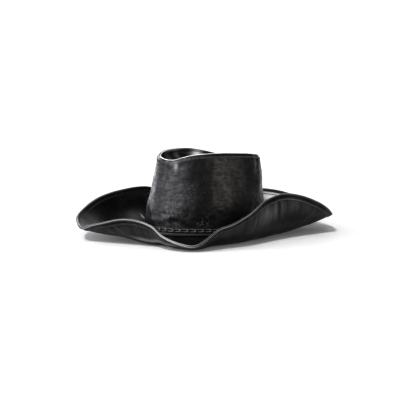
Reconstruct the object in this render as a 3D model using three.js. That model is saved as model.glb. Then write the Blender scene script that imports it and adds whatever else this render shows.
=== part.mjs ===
// A leather western hat, lying brim down. Millimetres, +Z up, front towards -Y, wearer's left towards +X.
// Angles run from the front (0) over the wearer's left (90) and the back (180) to the wearer's right (270).

import * as THREE from 'three';

// Head opening: outer face of the crown where it meets the brim
const HEAD_HALF_LENGTH = 103;
const HEAD_HALF_WIDTH = 85;

// Leather and fit
const CROWN_WALL = 1.8;
const TIP_WALL = 1.6;
const BRIM_WALL = 1.8;
const BINDING_WALL = 1.0;
const STRAP_WALL = 1.6;
const SEAM_GAP = 0.3;

// Brim and its folded edge strip
const BRIM_WIDTH = 105;
const BINDING_FACE = 9;

// Band
const STRAP_HEIGHT = 12;
const STRAP_LIFT = 0.8;
const BRAID_HEIGHT = 5.8;
const BRAID_DEPTH = 2.6;
const BRAID_DROP = 1.4;

// Crown: above its shoulder it leans in faster
const CROWN_SHOULDER = 0.88;

// Tip: its flange stands inside the rim down to this share of the crown's rise, and then turns inwards
const FLANGE_FOOT = 0.94;

// How finely the pieces are faceted
const STATIONS = 72;
const BRIM_STEPS = 8;
const CROWN_STEPS = 5;
const EDGE_STEPS = 3;

// Brim by angle. seat: height of its inner edge. root, edge: pitch in degrees there and at its outer edge
const BRIM_FOLDS = [
	{ angle: 0, seat: 7, root: -25, edge: 67 },
	{ angle: 15, seat: 7, root: -23, edge: 55.6 },
	{ angle: 21, seat: 7, root: -21.5, edge: 38.7 },
	{ angle: 28, seat: 7, root: -20, edge: 27 },
	{ angle: 37, seat: 7, root: -20, edge: 23.4 },
	{ angle: 46, seat: 7, root: -22, edge: 49.6 },
	{ angle: 53, seat: 6.5, root: -22, edge: 59.8 },
	{ angle: 60, seat: 6, root: -22, edge: 74.6 },
	{ angle: 75, seat: 5, root: -21, edge: 111 },
	{ angle: 90, seat: 4, root: -15, edge: 114.6 },
	{ angle: 105, seat: 3.5, root: -7, edge: 69.5 },
	{ angle: 120, seat: 3, root: -2, edge: 34 },
	{ angle: 135, seat: 2.5, root: -5, edge: 30 },
	{ angle: 150, seat: 2.5, root: -8, edge: 42 },
	{ angle: 165, seat: 2.5, root: -11, edge: 64 },
	{ angle: 180, seat: 2.5, root: -14, edge: 78 },
	{ angle: 200, seat: 2.5, root: -14, edge: 79 },
	{ angle: 225, seat: 2.5, root: -14, edge: 66 },
	{ angle: 240, seat: 2.5, root: -13, edge: 63 },
	{ angle: 255, seat: 2.5, root: -11, edge: 85 },
	{ angle: 270, seat: 2.5, root: -11, edge: 82 },
	{ angle: 285, seat: 2.5, root: -11, edge: 70.5 },
	{ angle: 300, seat: 2.5, root: -11, edge: 51.5 },
	{ angle: 315, seat: 3.5, root: -4, edge: 33 },
	{ angle: 330, seat: 4.5, root: 0, edge: 17.6 },
	{ angle: 345, seat: 6, root: -12, edge: 42.3 },
];

// Crown's outer face. rise: share of the way from the brim to the rim. shift: how far its centre lies back.
const CROWN_SECTIONS = [
	{ rise: 0, length: HEAD_HALF_LENGTH, width: HEAD_HALF_WIDTH, shift: 0 },
	{ rise: 0.3, length: 100.5, width: 82.5, shift: 1 },
	{ rise: 0.6, length: 95.5, width: 77.5, shift: 5 },
	{ rise: CROWN_SHOULDER, length: 91.5, width: 72, shift: 8.5 },
	{ rise: 1, length: 90, width: 69, shift: 8 },
];

// Soft dents of the crown. start: share of the rise where the dent begins to deepen towards the rim.
const CROWN_DENTS = [
	{ angle: 10, spread: 8, depth: 2.5, start: 0.7 },
	{ angle: 62, spread: 24, depth: 2, start: 0.3 },
	{ angle: 285, spread: 26, depth: 2, start: 0.3 },
	{ angle: 338, spread: 10, depth: 2.5, start: 0.6 },
];

// Height of the rim seam by angle
const RIM_HEIGHTS = [
	{ angle: 0, height: 115.4 },
	{ angle: 15, height: 119 },
	{ angle: 30, height: 122.5 },
	{ angle: 60, height: 125 },
	{ angle: 90, height: 122.5 },
	{ angle: 115, height: 118 },
	{ angle: 180, height: 114.5 },
	{ angle: 220, height: 116 },
	{ angle: 250, height: 124.5 },
	{ angle: 275, height: 125.5 },
	{ angle: 310, height: 119.6 },
	{ angle: 325, height: 116.8 },
	{ angle: 337, height: 115.1 },
	{ angle: 350, height: 115 },
];

// Dish of the tip. reach: share of the way out from its middle. front, back: depths below the rim
const TIP_RINGS = [
	{ reach: 0.94, front: 15, back: 10 },
	{ reach: 0.8, front: 22, back: 13 },
	{ reach: 0.55, front: 27, back: 15 },
	{ reach: 0.28, front: 26, back: 19 },
];
const TIP_MIDDLE_DEPTH = 22;

// Smooth curve through a column of a table that closes on itself after 360 degrees
function aroundHat(table, column) {
	const turns = [-360, 0, 360].flatMap((turn) => table.map((row) => [row.angle + turn, row[column]]));
	const positions = turns.map(([angle]) => angle);
	const values = turns.map(([, value]) => value);
	const curve = new THREE.CubicInterpolant(positions, values, 1);
	return (angle) => curve.evaluate(THREE.MathUtils.euclideanModulo(angle, 360))[0];
}

// Smooth curve through a column of a table along another of its columns
function alongTable(table, key, column) {
	const curve = new THREE.CubicInterpolant(table.map((row) => row[key]), table.map((row) => row[column]), 1);
	return (position) => curve.evaluate(position)[0];
}

const brimSeat = aroundHat(BRIM_FOLDS, 'seat');
const brimRoot = aroundHat(BRIM_FOLDS, 'root');
const brimEdge = aroundHat(BRIM_FOLDS, 'edge');
const rimHeight = aroundHat(RIM_HEIGHTS, 'height');
const crownLength = alongTable(CROWN_SECTIONS, 'rise', 'length');
const crownWidth = alongTable(CROWN_SECTIONS, 'rise', 'width');
const crownShift = alongTable(CROWN_SECTIONS, 'rise', 'shift');

// Outward direction, seen from above, at an angle
function outward(angle) {
	const turn = THREE.MathUtils.degToRad(angle);
	return new THREE.Vector3(Math.sin(turn), -Math.cos(turn), 0);
}

// Point of an oval where its outward direction is that of the angle
function ovalPoint(angle, length, width) {
	const out = outward(angle);
	const spread = Math.hypot(width * out.x, length * out.y);
	return new THREE.Vector3(width ** 2 * out.x / spread, length ** 2 * out.y / spread, 0);
}

// Point of the brim: along its section from the crown, and across its thickness from the middle.
// Its inner cut face stands upright against the crown, and the floor flattens what would sink below it.
function brimPoint(angle, along, across) {
	const root = THREE.MathUtils.degToRad(brimRoot(angle));
	const bend = THREE.MathUtils.degToRad(brimEdge(angle)) - root;
	const bent = Math.min(along, BRIM_WIDTH);
	const pitch = root + bend * bent / BRIM_WIDTH;
	const radius = BRIM_WIDTH / bend;
	const straight = along - bent;
	const reach = radius * (Math.sin(pitch) - Math.sin(root)) + straight * Math.cos(pitch);
	const rise = radius * (Math.cos(root) - Math.cos(pitch)) + straight * Math.sin(pitch);
	const lean = along > 0 ? across * Math.sin(pitch) : 0;
	const point = ovalPoint(angle, HEAD_HALF_LENGTH, HEAD_HALF_WIDTH);
	point.addScaledVector(outward(angle), SEAM_GAP + reach - lean);
	const height = brimSeat(angle) + rise + across * Math.cos(pitch);
	point.z = Math.max(height, across + BRIM_WALL / 2, 0);
	return point;
}

// How far the dents press the crown in
function dentDepth(angle, rise) {
	return CROWN_DENTS.reduce((depth, dent) => {
		const aside = THREE.MathUtils.euclideanModulo(angle - dent.angle + 180, 360) - 180;
		const share = Math.exp(-((aside / dent.spread) ** 2)) * THREE.MathUtils.smoothstep(rise, dent.start, 1);
		return depth + dent.depth * share;
	}, 0);
}

// Point of the crown at a share of the way up, pressed in from its outer face
function crownPoint(angle, rise, inset) {
	const point = ovalPoint(angle, crownLength(rise), crownWidth(rise));
	point.addScaledVector(outward(angle), -inset - dentDepth(angle, rise));
	point.y += crownShift(rise);
	const foot = brimSeat(angle) - BRIM_WALL / 2;
	point.z = THREE.MathUtils.lerp(foot, rimHeight(angle), rise);
	return point;
}

// Share of the way up the crown at a height
function riseAt(angle, height) {
	const foot = brimSeat(angle) - BRIM_WALL / 2;
	return (height - foot) / (rimHeight(angle) - foot);
}

// Closed ring swept round the hat: a profile of places, each turned into a point at every station
function ringGeometry(profile, place) {
	const vertices = [];
	const triangles = [];
	for (let station = 0; station < STATIONS; station += 1) {
		const angle = 360 * station / STATIONS;
		for (const step of profile) vertices.push(...place(angle, step).toArray());
	}
	const count = profile.length;
	for (let station = 0; station < STATIONS; station += 1) {
		const here = station * count;
		const next = ((station + 1) % STATIONS) * count;
		for (let step = 0; step < count; step += 1) {
			const after = (step + 1) % count;
			triangles.push(...facetPair(vertices, [here + step, next + step, next + after, here + after]));
		}
	}
	return solid(vertices, triangles);
}

// Two triangles of a four-sided facet, split along its shorter diagonal: layered pieces are split alike
function facetPair(vertices, [a, b, c, d]) {
	const corner = (index) => new THREE.Vector3().fromArray(vertices, index * 3);
	const split = corner(a).distanceTo(corner(c)) < corner(b).distanceTo(corner(d));
	return split ? [a, b, c, a, c, d] : [a, b, d, b, c, d];
}

// Indexed geometry with its normals
function solid(vertices, triangles) {
	const geometry = new THREE.BufferGeometry();
	geometry.setAttribute('position', new THREE.Float32BufferAttribute(vertices, 3));
	geometry.setIndex(triangles);
	geometry.computeVertexNormals();
	return geometry;
}

// Evenly spaced numbers, both ends included
function spaced(from, to, steps) {
	return Array.from({ length: steps + 1 }, (_, step) => THREE.MathUtils.lerp(from, to, step / steps));
}

// Half circle round the brim's edge, from its underside to its top
function edgeTurn(along, radius, steps) {
	return spaced(-90, 90, steps).map((turn) => ({
		along: along + radius * Math.cos(THREE.MathUtils.degToRad(turn)),
		across: radius * Math.sin(THREE.MathUtils.degToRad(turn)),
	}));
}

function brimGeometry() {
	const cutEdge = BRIM_WIDTH - BINDING_WALL - SEAM_GAP - BRIM_WALL / 2;
	const steps = [...spaced(0, BRIM_WIDTH - BINDING_FACE, BRIM_STEPS), cutEdge];
	const underside = steps.map((along) => ({ along, across: -BRIM_WALL / 2 }));
	const topside = steps.map((along) => ({ along, across: BRIM_WALL / 2 })).reverse();
	const profile = [...underside, ...topside];
	return ringGeometry(profile, (angle, step) => brimPoint(angle, step.along, step.across));
}

function bindingGeometry() {
	const outer = BRIM_WALL / 2 + SEAM_GAP + BINDING_WALL;
	const inner = BRIM_WALL / 2 + SEAM_GAP;
	const turnAt = BRIM_WIDTH - outer;
	const rim = BRIM_WIDTH - BINDING_FACE;
	const profile = [
		{ along: rim, across: -outer },
		...edgeTurn(turnAt, outer, EDGE_STEPS),
		{ along: rim, across: outer },
		{ along: rim, across: inner },
		...edgeTurn(turnAt, inner, EDGE_STEPS).reverse(),
		{ along: rim, across: -inner },
	];
	return ringGeometry(profile, (angle, step) => brimPoint(angle, step.along, step.across));
}

function crownGeometry() {
	const rises = [...spaced(0, CROWN_SHOULDER, CROWN_STEPS), FLANGE_FOOT, 1];
	const outside = rises.map((rise) => ({ rise, inset: 0 }));
	const inside = rises.map((rise) => ({ rise, inset: CROWN_WALL })).reverse();
	return ringGeometry([...outside, ...inside], (angle, step) => crownPoint(angle, step.rise, step.inset));
}

// Height of the rim on average, where the tip's middle hangs from
const MIDDLE_HEIGHT = (rimHeight(0) + rimHeight(90) + rimHeight(180) + rimHeight(270)) / 4;

// Point of the tip's dish: part of the way out from the middle, and this far under the rim
function dishPoint(angle, reach, depth) {
	const foot = crownPoint(angle, FLANGE_FOOT, CROWN_WALL + SEAM_GAP);
	const point = new THREE.Vector3(0, crownShift(1), 0).lerp(foot, reach);
	point.z = THREE.MathUtils.lerp(MIDDLE_HEIGHT, rimHeight(angle), reach ** 2) - depth;
	return point;
}

// Depth of a ring of the dish, eased from its front to its back
function dishDepth(angle, ring) {
	return THREE.MathUtils.lerp(ring.back, ring.front, (1 - outward(angle).y) / 2);
}

// Closed dish: rings on its upper face from the rim to the middle, and back out on its lower face
function tipGeometry() {
	const outer = CROWN_WALL + SEAM_GAP;
	const inner = outer + TIP_WALL;
	const rings = [
		(angle) => crownPoint(angle, 1, inner),
		(angle) => crownPoint(angle, FLANGE_FOOT, inner),
		...TIP_RINGS.map((ring) => (angle) => dishPoint(angle, ring.reach, dishDepth(angle, ring))),
	];
	const lowerRings = [
		...TIP_RINGS.toReversed().map((ring) => (
			(angle) => dishPoint(angle, ring.reach, dishDepth(angle, ring) + TIP_WALL)
		)),
		(angle) => crownPoint(angle, FLANGE_FOOT, outer),
		(angle) => crownPoint(angle, 1, outer),
	];
	const all = [...rings, ...lowerRings];
	const vertices = [];
	for (let station = 0; station < STATIONS; station += 1) {
		const angle = 360 * station / STATIONS;
		for (const ring of all) vertices.push(...ring(angle).toArray());
	}
	const topMiddle = vertices.length / 3;
	vertices.push(0, crownShift(1), MIDDLE_HEIGHT - TIP_MIDDLE_DEPTH);
	vertices.push(0, crownShift(1), MIDDLE_HEIGHT - TIP_MIDDLE_DEPTH - TIP_WALL);
	const triangles = [];
	for (let station = 0; station < STATIONS; station += 1) {
		const here = station * all.length;
		const next = ((station + 1) % STATIONS) * all.length;
		for (let ring = 0; ring < all.length; ring += 1) {
			const after = (ring + 1) % all.length;
			if (ring === rings.length - 1) {
				triangles.push(here + ring, next + ring, topMiddle);
				triangles.push(next + after, here + after, topMiddle + 1);
			} else {
				triangles.push(...facetPair(vertices, [here + ring, next + ring, next + after, here + after]));
			}
		}
	}
	return solid(vertices, triangles);
}

// Ring standing round the crown: from one height over the brim's seat to another, between two offsets
function beltGeometry(bottom, top, inner, outer) {
	const profile = [
		{ height: bottom, offset: outer },
		{ height: top, offset: outer },
		{ height: top, offset: inner },
		{ height: bottom, offset: inner },
	];
	return ringGeometry(profile, (angle, step) => {
		const height = brimSeat(angle) + BRIM_WALL / 2 + step.height;
		return crownPoint(angle, riseAt(angle, height), -step.offset);
	});
}

function leather(colour, roughness) {
	return new THREE.MeshStandardMaterial({ color: colour, roughness, metalness: 0 });
}

function piece(name, geometry, material) {
	const mesh = new THREE.Mesh(geometry, material);
	mesh.name = name;
	return mesh;
}

const strapOuter = SEAM_GAP + STRAP_WALL;
const braidInner = strapOuter + SEAM_GAP;
const strapTop = STRAP_LIFT + STRAP_HEIGHT;
const braidTop = strapTop - BRAID_DROP;

const hat = new THREE.Group();
hat.add(
	piece('crown_wall', crownGeometry(), leather(0x1c1c1e, 0.45)),
	piece('crown_tip', tipGeometry(), leather(0x19191b, 0.5)),
	piece('brim', brimGeometry(), leather(0x1a1a1c, 0.45)),
	piece('brim_binding', bindingGeometry(), leather(0x222224, 0.4)),
	piece('hat_band', beltGeometry(STRAP_LIFT, strapTop, SEAM_GAP, strapOuter), leather(0x1b1a1a, 0.5)),
	piece(
		'band_braid',
		beltGeometry(braidTop - BRAID_HEIGHT, braidTop, braidInner, braidInner + BRAID_DEPTH),
		leather(0x202020, 0.4),
	),
);

// The origin is the bottom centre of the hat's box
const bounds = new THREE.Box3().setFromObject(hat);
const centre = bounds.getCenter(new THREE.Vector3());
hat.position.set(-centre.x, -centre.y, -bounds.min.z);

export default hat;
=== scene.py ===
"""Finished look of a black leather western hat, lying brim down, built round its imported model.

The hat's shape comes from short tables in millimetres: how the brim is folded at each angle, the
sections, dents and pleats of the crown, the height of its rim and the dish of its tip. Angles run
from the front (0) over the wearer's left (90) and the back (180) to the wearer's right (270). Each
sub-assembly is a class that makes its meshes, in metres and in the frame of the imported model, and
dresses them in their finishes.
"""

import logging
import math
from collections.abc import Callable, Mapping, Sequence
from dataclasses import dataclass
from enum import Enum

import bpy
import numpy as np
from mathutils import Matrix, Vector


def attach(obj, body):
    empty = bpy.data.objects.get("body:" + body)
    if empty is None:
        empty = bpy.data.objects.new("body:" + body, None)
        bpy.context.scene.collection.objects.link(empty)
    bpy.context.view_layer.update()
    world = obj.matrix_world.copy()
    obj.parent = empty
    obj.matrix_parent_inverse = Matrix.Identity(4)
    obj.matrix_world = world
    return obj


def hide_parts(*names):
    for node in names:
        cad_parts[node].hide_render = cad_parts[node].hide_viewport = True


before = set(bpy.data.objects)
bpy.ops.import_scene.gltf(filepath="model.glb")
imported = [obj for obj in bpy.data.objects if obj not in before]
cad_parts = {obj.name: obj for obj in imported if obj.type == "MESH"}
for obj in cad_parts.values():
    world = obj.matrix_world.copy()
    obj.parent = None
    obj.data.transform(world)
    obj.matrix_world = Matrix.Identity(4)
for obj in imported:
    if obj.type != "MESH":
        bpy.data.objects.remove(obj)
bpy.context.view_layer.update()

MM = 0.001
FULL_TURN = 360.0
HALF_DEGREES = np.linspace(0, FULL_TURN, 721)
LINE_SAMPLES = 2001

Array = np.ndarray
Material = bpy.types.Material
Piece = bpy.types.Object
Triple = tuple[float, float, float]
Line = Callable[[Array], Array]
Place = Callable[[Array, Array], Array]

log = logging.getLogger("leather_hat")


@dataclass(frozen=True)
class BrimFold:
    """The brim at one angle: the height of its inner edge, and its pitch at its two edges."""

    angle: float
    seat: float
    root: float
    edge: float


@dataclass(frozen=True)
class CrownSection:
    """Crown's outline at a share of its height: half its length and width, and its way back."""

    rise: float
    length: float
    width: float
    shift: float


@dataclass(frozen=True)
class Dent:
    """Hollow pressed into the crown, which deepens from a share of its height up to the rim."""

    angle: float
    spread: float
    depth: float
    start: float

    def at(self, angle: Array, rise: Array) -> Array:
        """Depth at angles and shares of the height."""
        deepened = smoothstep(self.start, 1, rise)
        return self.depth * hump(turn_between(angle, self.angle), self.spread) * deepened


@dataclass(frozen=True)
class Patch:
    """Spot that is rubbed, raised, or lit by painted highlight or sheen: its angle and step along
    the section, their reach, how much.
    """

    angle: float
    spread: float
    step: float
    reach: float
    amount: float

    def at(self, angle: Array, step: Array) -> Array:
        """Amount at angles and steps along the section."""
        aside = turn_between(angle, self.angle) / self.spread
        away = (step - self.step) / self.reach
        return self.amount * np.exp(-(aside**2) - away**2)


@dataclass(frozen=True)
class Stretch:
    """Part of the hat's round that is rubbed, folded, or given or spared a painted highlight or
    sheen. A higher power makes it more even.
    """

    angle: float
    spread: float
    amount: float
    power: int = 2

    def at(self, angle: Array) -> Array:
        """Amount at angles."""
        return self.amount * hump(turn_between(angle, self.angle), self.spread, self.power)


@dataclass(frozen=True)
class RimPoint:
    """Height of the rim's seam at an angle."""

    angle: float
    height: float


@dataclass(frozen=True)
class BendPoint:
    """Step along the brim's section where its underside bends off the floor, at an angle."""

    angle: float
    step: float


@dataclass(frozen=True)
class TipRing:
    """Depth of the tip's dish in front and behind, at a share of the way out from its middle."""

    reach: float
    front: float
    back: float


BRIM_FOLDS = (
    BrimFold(0, 7, -25, 67),
    BrimFold(15, 7, -23, 55.6),
    BrimFold(21, 7, -21.5, 38.7),
    BrimFold(28, 7, -20, 27),
    BrimFold(37, 7, -20, 23.4),
    BrimFold(46, 7, -22, 49.6),
    BrimFold(53, 6.5, -22, 59.8),
    BrimFold(60, 6, -22, 74.6),
    BrimFold(75, 5, -21, 111),
    BrimFold(90, 4, -15, 114.6),
    BrimFold(105, 3.5, -7, 69.5),
    BrimFold(120, 3, -2, 34),
    BrimFold(135, 2.5, -5, 30),
    BrimFold(150, 2.5, -8, 42),
    BrimFold(165, 2.5, -11, 64),
    BrimFold(180, 2.5, -14, 78),
    BrimFold(200, 2.5, -14, 79),
    BrimFold(225, 2.5, -14, 66),
    BrimFold(240, 2.5, -13, 63),
    BrimFold(255, 2.5, -11, 85),
    BrimFold(270, 2.5, -11, 82),
    BrimFold(285, 2.5, -11, 70.5),
    BrimFold(300, 2.5, -11, 51.5),
    BrimFold(315, 3.5, -4, 33),
    BrimFold(330, 4.5, 0, 17.6),
    BrimFold(345, 6, -12, 42.3),
)

CROWN_SECTIONS = (
    CrownSection(0, 103, 85, 0),
    CrownSection(0.3, 100.5, 82.5, 1),
    CrownSection(0.6, 95.5, 77.5, 5),
    CrownSection(0.88, 91.5, 72, 8.5),
    CrownSection(1, 90, 69, 8),
)

CROWN_DENTS = (
    Dent(10, 8, 2.5, 0.7),
    Dent(62, 24, 2, 0.3),
    Dent(285, 26, 2, 0.3),
    Dent(338, 10, 2.5, 0.6),
)

CROWN_PLEATS = (
    Patch(10, 3.6, 0.9, 0.09, 0.7),
    Patch(359, 2.6, 0.93, 0.06, -0.2),
    Patch(97, 3.0, 0.94, 0.06, 0.9),
    Patch(103, 3.0, 0.92, 0.09, -0.8),
    Patch(150, 4.0, 0.93, 0.08, 0.8),
    Patch(228, 3.5, 0.94, 0.07, 0.8),
    Patch(302, 3.5, 0.93, 0.08, 0.7),
)

# Painted highlights on the crown: on the front pleat, along the front under the rim, and on a
# pucker at the wearer's left.
CROWN_PAINTED_HIGHLIGHTS = (
    Patch(5, 3.0, 0.905, 0.05, 0.2),
    Patch(1, 6.0, 0.93, 0.035, 0.05),
    Patch(99, 2.0, 0.92, 0.06, 0.05),
)
CROWN_SCUFFS = (
    Patch(22, 12, 0.56, 0.13, 0.9),
    Patch(12, 16, 0.3, 0.08, 1.3),
    Patch(350, 14, 0.23, 0.06, 0.9),
    Patch(45, 9, 0.17, 0.05, 1.2),
    Patch(350, 14, 0.5, 0.2, 0.3),
    Patch(70, 30, 0.6, 0.3, 0.2),
)
# Painted sheen on the brim's top: a broad pale patch at the back and two faint ones on the wearer's
# right, and a small painted glint at the crown's foot there.
BRIM_PAINTED_SHEEN = (
    Patch(172, 17, 0.84, 0.17, 0.5),
    Patch(270, 7, 0.52, 0.12, 0.1),
    Patch(302, 7, 0.78, 0.14, 0.09),
    Patch(264.5, 0.45, 0.49, 0.05, 0.45),
)
# Painted sheen on the brim's underside: lighter patches towards its edge.
UNDER_PAINTED_SHEEN = (
    Patch(75, 12, 0.8, 0.15, 0.12),
    Patch(51, 9, 0.86, 0.09, 0.05),
    Patch(101, 14, 0.85, 0.11, 0.05),
    Patch(0, 25, 0.8, 0.14, 0.045),
)
# Painted highlight: a light line on the underside where it bends up off the floor.
UNDER_BEND_HIGHLIGHT = (
    BendPoint(-9, 0.95),
    BendPoint(-6.5, 0.815),
    BendPoint(-4, 0.695),
    BendPoint(1.5, 0.63),
    BendPoint(9.5, 0.585),
    BendPoint(20, 0.715),
    BendPoint(26, 0.87),
    BendPoint(31, 0.95),
)

RIM_HEIGHTS = (
    RimPoint(0, 115.4),
    RimPoint(15, 119),
    RimPoint(30, 122.5),
    RimPoint(60, 125),
    RimPoint(90, 122.5),
    RimPoint(115, 118),
    RimPoint(180, 114.5),
    RimPoint(220, 116),
    RimPoint(250, 124.5),
    RimPoint(275, 125.5),
    RimPoint(310, 119.6),
    RimPoint(325, 116.8),
    RimPoint(337, 115.1),
    RimPoint(350, 115),
)

TIP_RINGS = (
    TipRing(0.94, 15, 10),
    TipRing(0.8, 22, 13),
    TipRing(0.55, 27, 15),
    TipRing(0.28, 26, 19),
)

# Where the crown rim's painted highlight is spared: at the wearer's left and right.
RIM_HIGHLIGHT_SPARED = (Stretch(95, 42, 0.55, 4), Stretch(300, 27, 0.88, 4))
# Rubbing and a painted highlight on the leather between the rim's stitches, only at the front.
RIM_TICK_WEAR_AND_HIGHLIGHT = Stretch(359, 9, 0.4)
# Where the strip's painted highlights are spared: at the back on either side.
STRIP_HIGHLIGHT_SPARED = (Stretch(155, 32, 0.75, 4), Stretch(245, 32, 0.8, 4))
# Painted sheen on the strip's top face at the back.
STRIP_FACE_SHEEN = Stretch(174, 16, 0.4)
# Painted highlight along the strip's fold at the front.
STRIP_FOLD_HIGHLIGHT = (Stretch(350, 20, 0.08, 4), Stretch(21, 13, 0.22, 4))
CREASED_FRONT = Stretch(12, 38, 0.55)
TIP_FOLD = Stretch(243, 6, 1.0)
TIP_PLEATS = (Stretch(282, 4, 1.0), Stretch(268, 3.5, 1.0))
# Painted highlight on the tip's lip at the wearer's right.
TIP_LIP_HIGHLIGHT = Stretch(275, 13, 0.5)


def smoothstep(low: float, high: float, value: Array) -> Array:
    """Ease from 0 at low to 1 at high.

    Args:
        low: Where the ease begins.
        high: Where it ends.
        value: Numbers to ease.

    Returns:
        The eased numbers, 0 to 1.
    """
    share = np.clip((value - low) / (high - low), 0.0, 1.0)
    return share * share * (3.0 - 2.0 * share)


def turn_between(angle: Array, other: float) -> Array:
    """Signed turn from one angle to others, in degrees, from -180 to 180."""
    return (angle - other + FULL_TURN / 2) % FULL_TURN - FULL_TURN / 2


def lerp(start: Array, end: Array, share: Array) -> Array:
    """Mix of two values by a share from 0 to 1."""
    return start + (end - start) * share


def hump(distance: Array, reach: float, power: int = 2) -> Array:
    """Smooth hump, 1 at no distance and next to nothing at twice its reach."""
    return np.exp(-((distance / reach) ** power))


def total(rows: Sequence[Dent | Patch | Stretch], *places: Array) -> Array:
    """Sum of what the rows of a table give at some places."""
    return sum(row.at(*places) for row in rows)


class SmoothCurve:
    """Smooth curve through a table of places and values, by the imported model's own rule."""

    def __init__(self, places: Sequence[float], values: Sequence[float]) -> None:
        """Keep the table with one more row at each end, which gives the ends no curvature.

        Args:
            places: Rising places.
            values: Value at each place.
        """
        self.places = np.array([places[1], *places, places[-2]], float)
        self.values = np.array([values[1], *values, values[-2]], float)
        self.inner = np.array(places, float)

    def __call__(self, at: Array) -> Array:
        """Values of the curve at some places."""
        at = np.asarray(at, float)
        after = np.clip(np.searchsorted(self.inner, at, side="right"), 1, len(self.inner) - 1) + 1
        before = after - 1
        start, end = self.places[before], self.places[after]
        half = (end - start) / 2
        lead = half / (start - self.places[before - 1])
        trail = half / (self.places[after + 1] - end)
        p = (at - start) / (end - start)
        p2, p3 = p * p, p * p * p
        weights = (
            -lead * p3 + 2 * lead * p2 - lead * p,
            (1 + lead) * p3 + (-1.5 - 2 * lead) * p2 + (lead - 0.5) * p + 1,
            (-1 - trail) * p3 + (1.5 + trail) * p2 + 0.5 * p,
            trail * p3 - trail * p2,
        )
        return sum(weight * self.values[before - 1 + row] for row, weight in enumerate(weights))


def around(rows: Sequence[object], column: str) -> Line:
    """Smooth closed curve through a table's column, by angle.

    Args:
        rows: Rows that each have an angle.
        column: Name of the field that holds the values.

    Returns:
        A function of angles in degrees.
    """
    turns = (-FULL_TURN, 0.0, FULL_TURN)
    places = [row.angle + turn for turn in turns for row in rows]
    values = [getattr(row, column) for _ in turns for row in rows]
    curve = SmoothCurve(places, values)
    return lambda angle: curve(np.asarray(angle, float) % FULL_TURN)


class Ripple:
    """Smooth seeded unevenness of leather: a sum of waves whose lengths lie between two sizes."""

    COUNT = 28

    def __init__(
        self, seed: int, shortest: float, longest: float, height: float, stretch: Triple = (1, 1, 1)
    ) -> None:
        """Draw the waves.

        Args:
            seed: Seed of the draw.
            shortest: Shortest wave, in millimetres.
            longest: Longest wave, in millimetres.
            height: About how high the sum is.
            stretch: How much longer the waves are along each axis.
        """
        draw = np.random.default_rng(seed)
        heading = draw.normal(size=(self.COUNT, 3))
        heading /= np.linalg.norm(heading, axis=1)[:, None]
        length = np.exp(draw.uniform(math.log(shortest), math.log(longest), self.COUNT))
        self.waves = heading * (2 * math.pi / length)[:, None] / np.array(stretch)
        self.phases = draw.uniform(0, 2 * math.pi, self.COUNT)
        self.share = height * math.sqrt(2 / self.COUNT)

    def __call__(self, points: Array) -> Array:
        """Unevenness at points in millimetres."""
        return np.cos(points @ self.waves.T + self.phases).sum(-1) * self.share


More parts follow.
